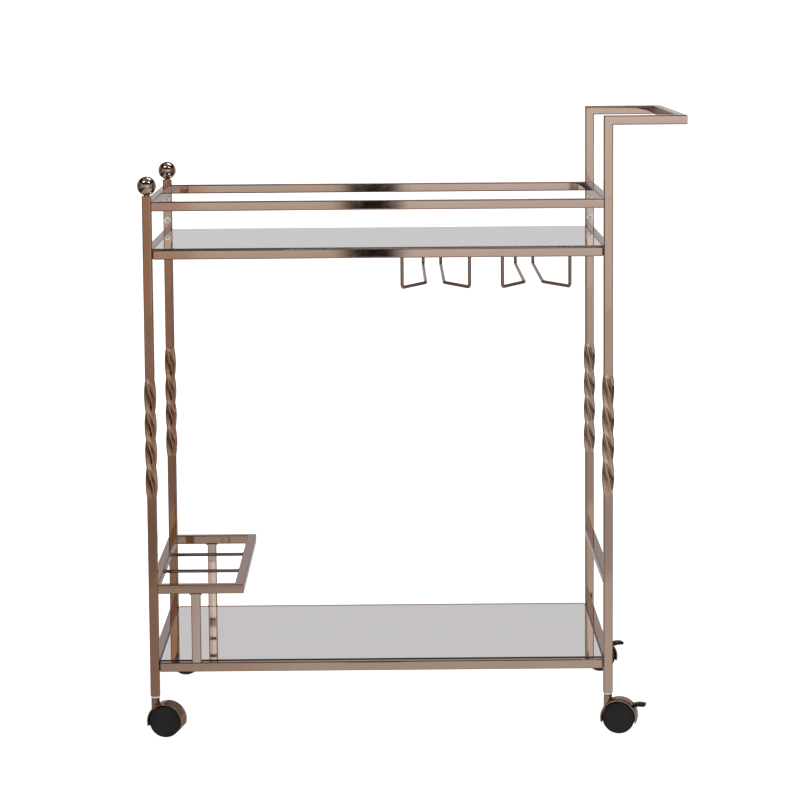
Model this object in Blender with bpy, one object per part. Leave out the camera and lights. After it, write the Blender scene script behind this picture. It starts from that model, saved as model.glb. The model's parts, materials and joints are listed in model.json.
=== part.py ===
"""Two-shelf bar cart on four twin-wheel casters.

Metres, +Z up. +X points to the push handle, +Y to the back of the cart. The origin is on the floor,
under the middle of the whole cart's bounding box.

The frame is 14 mm square tube. Four posts, each with a twisted stretch half way up, carry three
rectangles of rail: the gallery, the upper shelf and the lower shelf. A mirrored panel fills each
shelf. A three-bay bottle rack stands over the left end of the lower shelf, two stemware racks hang
under the upper shelf, and the handle plugs into the tops of the two right posts.
"""

import math

import bpy
from mathutils import Matrix, Vector

# Tube and fits
TUBE = 0.014
HALF = TUBE / 2
EDGE = 0.0011          # flat that stands for the tube's rounded corner
GAP = 0.0003           # space left between pieces that touch

# Overall layout
SPAN_X = 0.686         # between post centres, left to right
SPAN_Y = 0.386         # between post centres, front to back
HANDLE_REACH = 0.110   # from the right posts' outer faces to the grip's outer face
BALL_RADIUS = 0.01425  # of the finials, which stand out past the left posts
CENTRE_X = (BALL_RADIUS - HALF - HANDLE_REACH) / 2
LEFT_X = CENTRE_X - SPAN_X / 2
RIGHT_X = CENTRE_X + SPAN_X / 2
FRONT_Y = -SPAN_Y / 2
BACK_Y = SPAN_Y / 2

# Heights of the tops of the rails and posts
POST_BOTTOM_Z = 0.062
LOWER_TOP_Z = 0.113
RACK_TOP_Z = 0.233
CROSSBAR_TOP_Z = 0.240
UPPER_TOP_Z = 0.739
GALLERY_TOP_Z = 0.811
LEFT_POST_TOP_Z = 0.818
RIGHT_POST_TOP_Z = GALLERY_TOP_Z
HANDLE_TOP_Z = 0.934

# Twisted stretch of each post
TWIST_BOTTOM_Z = 0.366
TWIST_TOP_Z = 0.547
TWIST_TURNS = -1.0     # the corners sink towards the right across the front
TWIST_STEPS = 24

# Mirrored panels and the tabs that carry them
GLASS = 0.004
GLASS_MARGIN = 0.0014
GLASS_DROP = -0.0012   # the glass stands a little proud of its rails
TAB_LENGTH = 0.014
TAB_REACH = 0.009
TAB_THICKNESS = 0.0015

# Bottle rack
RACK_OUTER_X = LEFT_X + HALF + 0.1296
RACK_LEG_X = LEFT_X + 0.0636
ROD_RADIUS = 0.0023
ROD_Y = SPAN_Y / 6
ROD_Z = RACK_TOP_Z - HALF

# Stemware racks, bent from round wire
WIRE_RADIUS = 0.0022
WIRE_SPACING = 0.150
WIRE_FIRST_X = CENTRE_X + 0.086
WIRE_MOUTH = 0.101
WIRE_THROAT = 0.0285
WIRE_FUNNEL = 0.072    # depth over which the mouth narrows to the throat
WIRE_Z = UPPER_TOP_Z - 0.0600
WIRE_TOP_Z = UPPER_TOP_Z - 0.009
WIRE_BEND = 0.0045

# Bolts through the posts' inner faces
BOLT_HEIGHTS = (0.7535, 0.7875)
BOLT_SHANK_RADIUS = 0.0022
BOLT_HOLE_RADIUS = 0.0026
BOLT_DEPTH = 0.009

# Ball finials
BALL_Z = LEFT_POST_TOP_Z + 0.0164
STUD_RADIUS = 0.003
STUD_LENGTH = 0.014

# Handle
TONGUE = 0.0104        # side of the square tongue inside the post
TONGUE_LENGTH = 0.030

# Casters
WHEEL_RADIUS = 0.0245
TRAIL = 0.0172         # from the swivel axis back to the axle
CASTER_TURN = math.radians(11.5)
WEB_HALF = 0.0025
WHEEL_INNER_Y = 0.0029
WHEEL_OUTER_Y = 0.0141
HOOD_HALF = 0.0146
HOOD_RADIUS = 0.0276
BAY_RADIUS = 0.0253
HOOD_DROP = math.radians(16.0)
BOSS_RADIUS = 0.0065
BOSS_TOP_Z = 0.0577
BOSS_BOTTOM_Z = 0.036
PIN_RADIUS = 0.004
PIN_BOTTOM_Z = 0.0473
PIN_TOP_Z = POST_BOTTOM_Z + 0.028
COLLAR_RADIUS = 0.0066
AXLE_RADIUS = 0.002
LEVER_ANGLE = math.radians(38.0)
LEVER_PIVOT = 0.0292   # from the axle out to the brake lever's pivot
LEVER_HALF = 0.007


def clear_scene():
    for obj in list(bpy.data.objects):
        bpy.data.objects.remove(obj, do_unlink=True)


def make_material(name, colour, roughness, metallic):
    material = bpy.data.materials.new(name)
    material.use_nodes = True
    shader = material.node_tree.nodes["Principled BSDF"]
    shader.inputs["Base Color"].default_value = (*colour, 1.0)
    shader.inputs["Roughness"].default_value = roughness
    shader.inputs["Metallic"].default_value = metallic
    material.diffuse_color = (*colour, 1.0)
    return material


def octagon(half, edge):
    """Corners of a square of the given half side with its corners cut off, counter-clockwise."""
    inner = half - edge
    return [
        (half, -inner), (half, inner), (inner, half), (-inner, half),
        (-half, inner), (-half, -inner), (-inner, -half), (inner, -half),
    ]


def circle(radius, count, start=0.0):
    step = 2 * math.pi / count
    return [(radius * math.cos(start + i * step), radius * math.sin(start + i * step)) for i in range(count)]


def loft(rings, smooth_angle=40.0):
    """A closed solid through rings of equal count. A ring of one point closes that end to a tip."""
    vertices = []
    rows = []
    for ring in rings:
        rows.append(list(range(len(vertices), len(vertices) + len(ring))))
        vertices.extend(ring)
    faces = []
    for low, high in zip(rows, rows[1:]):
        count = max(len(low), len(high))
        for i in range(count):
            j = (i + 1) % count
            if len(low) == 1:
                faces.append((low[0], high[j], high[i]))
            elif len(high) == 1:
                faces.append((low[i], low[j], high[0]))
            else:
                faces.append((low[i], low[j], high[j], high[i]))
    if len(rows[0]) > 1:
        faces.append(tuple(reversed(rows[0])))
    if len(rows[-1]) > 1:
        faces.append(tuple(rows[-1]))
    mesh = bpy.data.meshes.new("solid")
    mesh.from_pydata([tuple(v) for v in vertices], [], faces)
    mesh.validate()
    mesh.shade_smooth()
    mesh.set_sharp_from_angle(angle=math.radians(smooth_angle))
    return mesh


def turned(profile, count=16):
    """A solid of revolution about Z, from (radius, z) points that start and end on the axis."""
    rings = []
    for radius, z in profile:
        if radius == 0.0:
            rings.append([Vector((0.0, 0.0, z))])
        else:
            rings.append([Vector((x, y, z)) for x, y in circle(radius, count)])
    return loft(rings)


def extruded(outline, low_y, high_y):
    """A prism along Y from (x, z) points that run clockwise as seen along +Y."""
    return loft([[Vector((x, y, z)) for x, z in outline] for y in (low_y, high_y)])


def box(low, high):
    corners = [(low[0], low[1]), (high[0], low[1]), (high[0], high[1]), (low[0], high[1])]
    return loft([[Vector((x, y, z)) for x, y in corners] for z in (low[2], high[2])])


def swept(path, section):
    """Rings of one section carried along a path of straight runs, mitred where the path turns."""
    points = [Vector(p) for p in path]
    runs = [(b - a).normalized() for a, b in zip(points, points[1:])]
    side = Vector((0.0, 0.0, 1.0)).cross(runs[0])
    if side.length < 0.1:
        side = Vector((1.0, 0.0, 0.0))
    side.normalize()
    up = runs[0].cross(side)
    rings = []
    for i, point in enumerate(points):
        before = runs[max(i - 1, 0)]
        after = runs[min(i, len(runs) - 1)]
        mitre = (before + after).normalized()
        ring = []
        for a, b in section:
            offset = side * a + up * b
            ring.append(point + offset - before * (offset.dot(mitre) / before.dot(mitre)))
        rings.append(ring)
        turn = before.rotation_difference(after)
        side = turn @ side
        up = turn @ up
    return rings


def place(name, mesh, material, location=(0.0, 0.0, 0.0), turn=(0.0, 0.0, 0.0), parent=None):
    """A named object that holds the mesh. Its material is linked to the object, as meshes are shared."""
    obj = bpy.data.objects.new(name, mesh)
    bpy.context.scene.collection.objects.link(obj)
    obj.location = location
    obj.rotation_euler = turn
    obj.parent = parent
    if not mesh.materials:
        mesh.materials.append(material)
    return obj


def helper(name, mesh, location=(0.0, 0.0, 0.0), turn=(0.0, 0.0, 0.0)):
    """A shape that only cuts or joins another one."""
    obj = bpy.data.objects.new(name, mesh)
    bpy.context.scene.collection.objects.link(obj)
    obj.location = location
    obj.rotation_euler = turn
    obj.hide_render = True
    obj.display_type = "WIRE"
    return obj


def combine(obj, other, operation):
    modifier = obj.modifiers.new(other.name, "BOOLEAN")
    modifier.operation = operation
    modifier.solver = "EXACT"
    modifier.object = other


def baked(obj):
    """The object's mesh with its modifiers applied, and the object itself removed."""
    graph = bpy.context.evaluated_depsgraph_get()
    mesh = bpy.data.meshes.new_from_object(obj.evaluated_get(graph))
    bpy.data.objects.remove(obj, do_unlink=True)
    mesh.shade_smooth()
    mesh.set_sharp_from_angle(angle=math.radians(35.0))
    return mesh


def bar(name, start, end, material):
    """A straight length of the square tube, drawn solid, with a gap at each end."""
    low, high = Vector(start), Vector(end)
    along = (high - low).normalized()
    path = [low + along * GAP, high - along * GAP]
    return place(name, loft(swept(path, octagon(HALF, EDGE))), material)


def post(name, x, y, top_z, material):
    """A post: plain tube, one full twist of the square section, plain tube."""
    section = octagon(HALF, EDGE)
    levels = [(POST_BOTTOM_Z, 0.0)]
    for i in range(TWIST_STEPS + 1):
        part = i / TWIST_STEPS
        height = TWIST_BOTTOM_Z + part * (TWIST_TOP_Z - TWIST_BOTTOM_Z)
        levels.append((height, 2 * math.pi * TWIST_TURNS * part))
    levels.append((top_z, 2 * math.pi * TWIST_TURNS))
    rings = []
    for z, angle in levels:
        turn = Matrix.Rotation(angle, 3, "Z")
        rings.append([turn @ Vector((a, b, 0.0)) + Vector((0.0, 0.0, z)) for a, b in section])
    obj = place(name, loft(rings, smooth_angle=30.0), material, location=(x, y, 0.0))
    cut_stem_bore(obj, x, y)
    cut_bolt_holes(obj, x, y)
    return obj


def cut_stem_bore(obj, x, y):
    mouth = POST_BOTTOM_Z - 0.005
    radius = PIN_RADIUS + GAP
    bore = turned([(0.0, mouth), (radius, mouth), (radius, PIN_TOP_Z + GAP), (0.0, PIN_TOP_Z + GAP)], 16)
    combine(obj, helper(obj.name + "_stem_bore", bore, (x, y, 0.0)), "DIFFERENCE")


def inward(y):
    """+1 for a front post, whose inner face looks back, and -1 for a back post."""
    return 1.0 if y < 0 else -1.0


def cut_bolt_holes(obj, x, y):
    """Blind holes in the inner face, also cut through a handle tongue."""
    depth = BOLT_DEPTH + GAP
    hole = turned([(0.0, -depth), (BOLT_HOLE_RADIUS, -depth), (BOLT_HOLE_RADIUS, 0.006), (0.0, 0.006)], 12)
    face = y + inward(y) * HALF
    for number, height in enumerate(BOLT_HEIGHTS):
        name = f"{obj.name}_bolt_hole_{number}_{'front' if y < 0 else 'back'}"
        turn = (-math.pi / 2 * inward(y), 0.0, 0.0)
        combine(obj, helper(name, hole, (x, face, height), turn), "DIFFERENCE")


def make_posts(metal):
    for side, x, top in (("left", LEFT_X, LEFT_POST_TOP_Z), ("right", RIGHT_X, RIGHT_POST_TOP_Z)):
        for end, y in (("front", FRONT_Y), ("back", BACK_Y)):
            obj = post(f"{end}_{side}_post", x, y, top, metal)
            if side == "left":
                depth, reach = STUD_LENGTH + GAP, 0.004
                radius = STUD_RADIUS + GAP
                hole = turned([(0.0, -depth), (radius, -depth), (radius, reach), (0.0, reach)], 12)
                cutter = helper(obj.name + "_stud_hole", hole, (x, y, top))
            else:
                half = TONGUE / 2 + GAP
                socket = box((-half, -half, -TONGUE_LENGTH - GAP), (half, half, 0.004))
                cutter = helper(obj.name + "_socket", socket, (x, y, top))
            combine(obj, cutter, "DIFFERENCE")


def make_bolts(steel):
    """Button-head socket bolts, seen on the inner faces of the posts between gallery and shelf."""
    profile = [
        (0.0, -BOLT_DEPTH), (BOLT_SHANK_RADIUS, -BOLT_DEPTH), (BOLT_SHANK_RADIUS, GAP), (0.0048, GAP),
        (0.0048, 0.0012), (0.0037, 0.0026), (0.0017, 0.0031), (0.0017, 0.0013), (0.0, 0.0013),
    ]
    mesh = turned(profile, 10)
    for side, x in (("left", LEFT_X), ("right", RIGHT_X)):
        for end, y in (("front", FRONT_Y), ("back", BACK_Y)):
            for level, height in zip(("lower", "upper"), BOLT_HEIGHTS):
                turn = (-math.pi / 2 * inward(y), 0.0, 0.0)
                face = y + inward(y) * HALF
                place(f"{end}_{side}_{level}_bolt", mesh, steel, (x, face, height), turn)


def make_finials(metal):
    """Ball, neck, square cap plate and the stud that screws into the post."""
    plate, neck = 0.0012, 0.0042
    profile = [(0.0, -STUD_LENGTH), (STUD_RADIUS, -STUD_LENGTH), (STUD_RADIUS, GAP)]
    profile += [(HALF, GAP), (HALF, GAP + plate), (neck, GAP + plate)]
    centre = BALL_Z - LEFT_POST_TOP_Z
    start = -math.acos(neck / BALL_RADIUS)
    steps = 8
    for i in range(steps):
        angle = start + (math.pi / 2 - start) * i / steps
        profile.append((BALL_RADIUS * math.cos(angle), centre + BALL_RADIUS * math.sin(angle)))
    profile.append((0.0, centre + BALL_RADIUS))
    mesh = turned(profile, 16)
    for end, y in (("front", FRONT_Y), ("back", BACK_Y)):
        place(f"{end}_finial", mesh, metal, (LEFT_X, y, LEFT_POST_TOP_Z))


def make_rails(name, top_z, metal, tabs):
    """A rectangle of four rails between the posts. Front and back rails may carry glass tabs."""
    z = top_z - HALF
    inner_left, inner_right = LEFT_X + HALF, RIGHT_X - HALF
    inner_front, inner_back = FRONT_Y + HALF, BACK_Y - HALF
    for end, y in (("front", FRONT_Y), ("back", BACK_Y)):
        rail = bar(f"{name}_{end}_rail", (inner_left, y, z), (inner_right, y, z), metal)
        if tabs:
            add_tabs(rail, y, top_z)
    for side, x in (("left", LEFT_X), ("right", RIGHT_X)):
        bar(f"{name}_{side}_rail", (x, inner_front, z), (x, inner_back, z), metal)


def add_tabs(rail, y, top_z):
    high = top_z - GLASS_DROP - GLASS - GAP
    root = y + inward(y) * (HALF - 0.0015)
    tip = y + inward(y) * (HALF + TAB_REACH)
    for side in (-1, 1):
        middle = CENTRE_X + side * SPAN_X / 4
        low_corner = (middle - TAB_LENGTH / 2, min(root, tip), high - TAB_THICKNESS)
        high_corner = (middle + TAB_LENGTH / 2, max(root, tip), high)
        tab = helper(f"{rail.name}_tab_{side + 1}", box(low_corner, high_corner))
        combine(rail, tab, "UNION")


def make_panel(name, top_z, mirror):
    """A mirrored glass panel inside its four rails, its top a little above theirs."""
    half_x = SPAN_X / 2 - HALF - GLASS_MARGIN
    half_y = SPAN_Y / 2 - HALF - GLASS_MARGIN
    bevel = 0.0006
    top = top_z - GLASS_DROP
    rings = []
    for inset, z in ((bevel, top - GLASS), (0.0, top - GLASS + bevel), (0.0, top - bevel), (bevel, top)):
        x, y = half_x - inset, half_y - inset
        corners = ((-x, -y), (x, -y), (x, y), (-x, y))
        rings.append([Vector((a + CENTRE_X, b, z)) for a, b in corners])
    place(name, loft(rings), mirror)


def make_bottle_rack(metal):
    z = RACK_TOP_Z - HALF
    inner = LEFT_X + HALF
    outer = RACK_OUTER_X - HALF
    path = [(inner + GAP, FRONT_Y, z), (outer, FRONT_Y, z), (outer, BACK_Y, z), (inner + GAP, BACK_Y, z)]
    place("bottle_rack_frame", loft(swept(path, octagon(HALF, EDGE))), metal)
    bar("bottle_rack_side_bar", (LEFT_X, FRONT_Y + HALF, z), (LEFT_X, BACK_Y - HALF, z), metal)
    ends = [(inner + GAP, 0.0, 0.0), (outer - HALF - GAP, 0.0, 0.0)]
    rod = loft(swept(ends, circle(ROD_RADIUS, 10)))
    for end, y in (("front", -ROD_Y), ("back", ROD_Y)):
        place(f"bottle_rack_{end}_rod", rod, metal, (0.0, y, ROD_Z))
    for end, y in (("front", FRONT_Y), ("back", BACK_Y)):
        foot, head = (RACK_LEG_X, y, LOWER_TOP_Z), (RACK_LEG_X, y, RACK_TOP_Z - TUBE)
        bar(f"bottle_rack_{end}_leg", foot, head, metal)


def rounded(path, radius, steps=2):
    """The path with each corner replaced by a short arc."""
    points = [Vector(p) for p in path]
    result = [points[0]]
    for before, corner, after in zip(points, points[1:], points[2:]):
        start = corner + (before - corner).normalized() * radius
        end = corner + (after - corner).normalized() * radius
        for i in range(steps + 1):
            t = i / steps
            result.append(start * (1 - t) ** 2 + corner * 2 * t * (1 - t) + end * t ** 2)
    result.append(points[-1])
    return result


def make_stemware_racks(metal):
    """Each rack: a cross wire behind the front rail, two legs down, a funnel, two rails, two legs up."""
    front = FRONT_Y + HALF + GAP + WIRE_RADIUS
    back = BACK_Y - HALF - GAP - WIRE_RADIUS
    throat = front + WIRE_FUNNEL
    mouth_x, throat_x = WIRE_MOUTH / 2, WIRE_THROAT / 2
    half = [(mouth_x, front, WIRE_TOP_Z), (mouth_x, front, WIRE_Z), (throat_x, throat, WIRE_Z)]
    half += [(throat_x, back, WIRE_Z), (throat_x, back, WIRE_TOP_Z)]
    other = [(-x, y, z) for x, y, z in half]
    path = rounded(list(reversed(other)) + half, WIRE_BEND)
    mesh = loft(swept(path, circle(WIRE_RADIUS, 8)))
    for number in range(2):
        x = WIRE_FIRST_X + number * WIRE_SPACING
        place(f"stemware_rack_{number + 1}", mesh, metal, (x, 0.0, 0.0))


def make_handle(metal):
    """One U of tube: up from the front right post, out, across, back and down into the other post."""
    grip_x = RIGHT_X + HALF + HANDLE_REACH - HALF
    z = HANDLE_TOP_Z - HALF
    foot = RIGHT_POST_TOP_Z + GAP
    tip = RIGHT_POST_TOP_Z - TONGUE_LENGTH
    path = [(RIGHT_X, FRONT_Y, foot), (RIGHT_X, FRONT_Y, z), (grip_x, FRONT_Y, z)]
    path += [(grip_x, BACK_Y, z), (RIGHT_X, BACK_Y, z), (RIGHT_X, BACK_Y, foot)]
    rings = swept(path, octagon(HALF, EDGE))
    first = thinned(rings[0], Vector((RIGHT_X, FRONT_Y, foot)))
    last = thinned(rings[-1], Vector((RIGHT_X, BACK_Y, foot)))
    drop = Vector((0.0, 0.0, tip - foot))
    rings = [[p + drop for p in first], first] + rings + [last, [p + drop for p in last]]
    handle = place("push_handle", loft(rings), metal)
    for y in (FRONT_Y, BACK_Y):
        cut_bolt_holes(handle, RIGHT_X, y)


def thinned(ring, middle):
    """The tube's outline shrunk about its middle to the outline of the tongue."""
    return [middle + (p - middle) * (TONGUE / TUBE) for p in ring]


def arc(radius, first, last, count, centre=(0.0, 0.0)):
    points = []
    for i in range(count):
        angle = first + (last - first) * i / (count - 1)
        points.append((centre[0] + radius * math.cos(angle), centre[1] + radius * math.sin(angle)))
    return points


def housing_mesh(braked):
    """Swivel boss, hood and middle web. The swivel axis is Z and the caster trails along +X."""
    axle = (TRAIL, WHEEL_RADIUS)
    outline = arc(HOOD_RADIUS, math.pi + HOOD_DROP, -HOOD_DROP, 20, axle)
    hood = helper("hood", extruded(outline, -HOOD_HALF, HOOD_HALF))
    profile = [(0.0, BOSS_BOTTOM_Z), (BOSS_RADIUS, BOSS_BOTTOM_Z), (BOSS_RADIUS, BOSS_TOP_Z), (0.0, BOSS_TOP_Z)]
    helpers = [helper("boss", turned(profile, 18))]
    combine(hood, helpers[0], "UNION")
    bay = arc(BAY_RADIUS, 2 * math.pi, 2 * math.pi / 22, 22, axle)
    for side in (-1, 1):
        low, high = sorted((side * WEB_HALF, side * (HOOD_HALF + 0.004)))
        helpers.append(helper(f"bay_{side + 1}", extruded(bay, low, high)))
    radius = PIN_RADIUS + GAP
    bottom = PIN_BOTTOM_Z - GAP
    top = BOSS_TOP_Z + 0.004
    helpers.append(helper("pin_bore", turned([(0.0, bottom), (radius, bottom), (radius, top), (0.0, top)], 16)))
    reach = WEB_HALF + 0.002
    radius = AXLE_RADIUS + GAP
    bore = turned([(0.0, -reach), (radius, -reach), (radius, reach), (0.0, reach)], 12)
    helpers.append(helper("axle_bore", bore, (TRAIL, 0.0, WHEEL_RADIUS), (math.pi / 2, 0.0, 0.0)))
    if braked:
        width = LEVER_HALF + 2 * GAP
        slot = box((BAY_RADIUS - 0.0003, -width, -0.004), (HOOD_RADIUS + 0.004, width, 0.004))
        helpers.append(helper("lever_slot", slot, (TRAIL, 0.0, WHEEL_RADIUS), (0.0, -LEVER_ANGLE, 0.0)))
    for cutter in helpers[1:]:
        combine(hood, cutter, "DIFFERENCE")
    mesh = baked(hood)
    for used in helpers:
        bpy.data.objects.remove(used, do_unlink=True)
    return mesh


def wheel_mesh():
    """One wheel about Z: tread, rounded shoulders, domed outer cover and a blind axle bore."""
    radius, inner, outer = WHEEL_RADIUS, WHEEL_INNER_Y, WHEEL_OUTER_Y
    bore = AXLE_RADIUS + GAP
    profile = [(0.0, outer - 0.004), (bore, outer - 0.004), (bore, inner), (radius - 0.0012, inner)]
    profile += [(radius, inner + 0.0012), (radius, outer - 0.003), (radius - 0.001, outer - 0.0012)]
    profile += [(radius - 0.0030, outer - 0.0004), (radius * 0.55, outer - 0.0001), (0.0, outer)]
    return turned(profile, 20)


def lever_mesh():
    """Brake lever in its own frame: the pivot is the Y axis and the paddle reaches along +X."""
    outline = [
        (-0.0014, 0.0023), (0.0040, 0.0040), (0.0100, 0.0042), (0.0160, 0.0036), (0.0177, 0.0018),
        (0.0165, -0.0010), (0.0060, -0.0012), (0.0026, -0.0022), (0.0005, -0.0027), (-0.0020, -0.0017),
        (-0.0027, 0.0003),
    ]
    return extruded(outline, -LEVER_HALF, LEVER_HALF)


def stem_mesh():
    top = POST_BOTTOM_Z - GAP
    profile = [
        (0.0, PIN_BOTTOM_Z), (PIN_RADIUS, PIN_BOTTOM_Z), (PIN_RADIUS, BOSS_TOP_Z + GAP),
        (COLLAR_RADIUS, BOSS_TOP_Z + GAP), (COLLAR_RADIUS, top), (PIN_RADIUS, top),
        (PIN_RADIUS, PIN_TOP_Z - 0.002), (PIN_RADIUS - 0.001, PIN_TOP_Z), (0.0, PIN_TOP_Z),
    ]
    return turned(profile, 14)


def make_casters(metal, steel, plastic):
    """Stem, housing, axle and two wheels under each post. The two right casters have brakes."""
    housings = {False: housing_mesh(False), True: housing_mesh(True)}
    wheel, stem, lever = wheel_mesh(), stem_mesh(), lever_mesh()
    reach = WHEEL_OUTER_Y - 0.0045
    rod = [(0.0, -reach), (AXLE_RADIUS, -reach), (AXLE_RADIUS, reach), (0.0, reach)]
    axle = turned(rod, 12)
    for side, x in (("left", LEFT_X), ("right", RIGHT_X)):
        for end, y in (("front", FRONT_Y), ("back", BACK_Y)):
            name = f"{end}_{side}"
            swivel = bpy.data.objects.new(f"{name}_swivel", None)
            bpy.context.scene.collection.objects.link(swivel)
            swivel.location = (x, y, 0.0)
            swivel.rotation_euler = (0.0, 0.0, CASTER_TURN if y > 0 else -CASTER_TURN)
            hub = (TRAIL, 0.0, WHEEL_RADIUS)
            place(f"{name}_caster_stem", stem, steel, (x, y, 0.0))
            place(f"{name}_caster_housing", housings[side == "right"], metal, parent=swivel)
            place(f"{name}_axle", axle, steel, hub, (math.pi / 2, 0.0, 0.0), swivel)
            place(f"{name}_outer_wheel", wheel, plastic, hub, (-math.pi / 2 * -inward(y), 0.0, 0.0), swivel)
            place(f"{name}_inner_wheel", wheel, plastic, hub, (math.pi / 2 * -inward(y), 0.0, 0.0), swivel)
            if side == "right":
                pivot = (
                    TRAIL + LEVER_PIVOT * math.cos(LEVER_ANGLE), 0.0,
                    WHEEL_RADIUS + LEVER_PIVOT * math.sin(LEVER_ANGLE),
                )
                place(f"{name}_brake_lever", lever, plastic, pivot, parent=swivel)


def main():
    clear_scene()
    metal = make_material("bronze_plate", (0.52, 0.39, 0.33), 0.18, 1.0)
    mirror = make_material("mirror_glass", (0.82, 0.81, 0.83), 0.03, 1.0)
    steel = make_material("zinc_steel", (0.72, 0.71, 0.73), 0.28, 1.0)
    plastic = make_material("black_plastic", (0.018, 0.017, 0.019), 0.38, 0.0)
    make_posts(metal)
    make_finials(metal)
    make_rails("gallery", GALLERY_TOP_Z, metal, tabs=False)
    make_rails("upper_shelf", UPPER_TOP_Z, metal, tabs=True)
    make_rails("lower_shelf", LOWER_TOP_Z, metal, tabs=True)
    make_panel("upper_mirror", UPPER_TOP_Z, mirror)
    make_panel("lower_mirror", LOWER_TOP_Z, mirror)
    z = CROSSBAR_TOP_Z - HALF
    bar("right_crossbar", (RIGHT_X, FRONT_Y + HALF, z), (RIGHT_X, BACK_Y - HALF, z), metal)
    make_bottle_rack(metal)
    make_stemware_racks(metal)
    make_handle(metal)
    make_bolts(steel)
    make_casters(metal, steel, plastic)


main()
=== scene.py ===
"""The looks of the bar cart: fine meshes and materials over the frame, a studio and a camera.

Each visible piece stands for one faceted solid of the frame, and pieces take their places from the
solids' boxes. The posts' twist, the wires' bends and the casters' own measures are named below.
Metres, with +X towards the push handle, +Y to the back and +Z up.
"""

import json
import math

import bpy
from mathutils import Matrix, Vector

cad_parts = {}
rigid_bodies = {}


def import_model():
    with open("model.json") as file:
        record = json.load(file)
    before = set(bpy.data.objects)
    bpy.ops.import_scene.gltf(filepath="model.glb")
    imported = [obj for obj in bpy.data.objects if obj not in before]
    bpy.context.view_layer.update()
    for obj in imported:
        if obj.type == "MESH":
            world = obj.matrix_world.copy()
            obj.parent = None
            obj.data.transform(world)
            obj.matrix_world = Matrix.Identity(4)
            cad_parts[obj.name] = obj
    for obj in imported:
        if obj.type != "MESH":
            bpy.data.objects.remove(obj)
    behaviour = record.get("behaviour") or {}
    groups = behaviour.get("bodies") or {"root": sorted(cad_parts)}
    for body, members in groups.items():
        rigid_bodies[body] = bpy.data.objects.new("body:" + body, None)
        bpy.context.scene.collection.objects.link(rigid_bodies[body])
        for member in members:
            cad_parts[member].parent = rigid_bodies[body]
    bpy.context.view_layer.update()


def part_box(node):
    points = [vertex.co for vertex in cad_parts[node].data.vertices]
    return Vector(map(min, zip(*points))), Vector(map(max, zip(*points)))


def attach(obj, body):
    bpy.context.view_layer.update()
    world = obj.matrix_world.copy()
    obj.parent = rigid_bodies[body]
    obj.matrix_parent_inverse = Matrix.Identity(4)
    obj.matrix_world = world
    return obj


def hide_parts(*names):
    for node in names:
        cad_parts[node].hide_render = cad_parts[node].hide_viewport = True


FIT_GAP = 0.0003

# The square tube, and the twisted stretch of the posts.
TUBE_HALF = 0.007
TUBE_CORNER = 0.0018
TWIST_BOTTOM_Z = 0.366
TWIST_TOP_Z = 0.547
TWIST_ANGLE = -2 * math.pi
TWIST_LEVELS = 96
TWIST_EASING = 0.055
TWIST_RUN_IN = 0.07
TWIST_SWELL = 0.0003
TWIST_ROUNDING = 0.0008
TWIST_HOLLOW = 0.0010

# The plates under the glass, and the wires.
TAB_LENGTH = 0.014
TAB_THICKNESS = 0.0015
TAB_DEPTH = 0.0045
TAB_OVERLAP = 0.001
WIRE_RADIUS = 0.0022
WIRE_COAT = 0.0004
WIRE_BEND = 0.0056
WIRE_THROAT = 0.01425
WIRE_FUNNEL = 0.072

# The casters. Their axles trail the swivel axis, along +X before a caster is turned.
CASTER_TURN = math.radians(11.5)
TRAIL = 0.0172
WHEEL_RADIUS = 0.0245
WHEEL_INNER = 0.0031
WHEEL_OUTER = 0.0139
AXLE_RADIUS = 0.002
AXLE_HALF = 0.0095
HOOD_RADIUS = 0.0276
HOOD_INNER = 0.0254
HOOD_HALF = 0.0145
HOOD_DROP = math.radians(16.0)
WEB_HALF = 0.0025
WEB_BORE = 0.0036
BOSS_RADIUS = 0.0065
BOSS_BORE = 0.0043
LEVER_ANGLE = math.radians(38.0)
LEVER_PIVOT = 0.0292
SLOT_HALF_ANGLE = 0.155
SLOT_HALF_WIDTH = 0.0077

# The studio's walls round the cart, and the camera.
ROOM_SIDE_X = 4.2
ROOM_FRONT_Y = -6.0
ROOM_BACK_Y = 9.0
ROOM_LOW_Z = -1.0
ROOM_HIGH_Z = 3.0
CAMERA_PLACE = (-0.0341, -4.278, 1.100)
CAMERA_LENS = 123.9
CAMERA_SHIFT_Y = -0.106
CAMERA_PITCH = math.radians(6.445)
CAMERA_YAW = -0.00361
CAMERA_ROLL = -0.00762


# ---------------------------------------------------------------- materials


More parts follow.
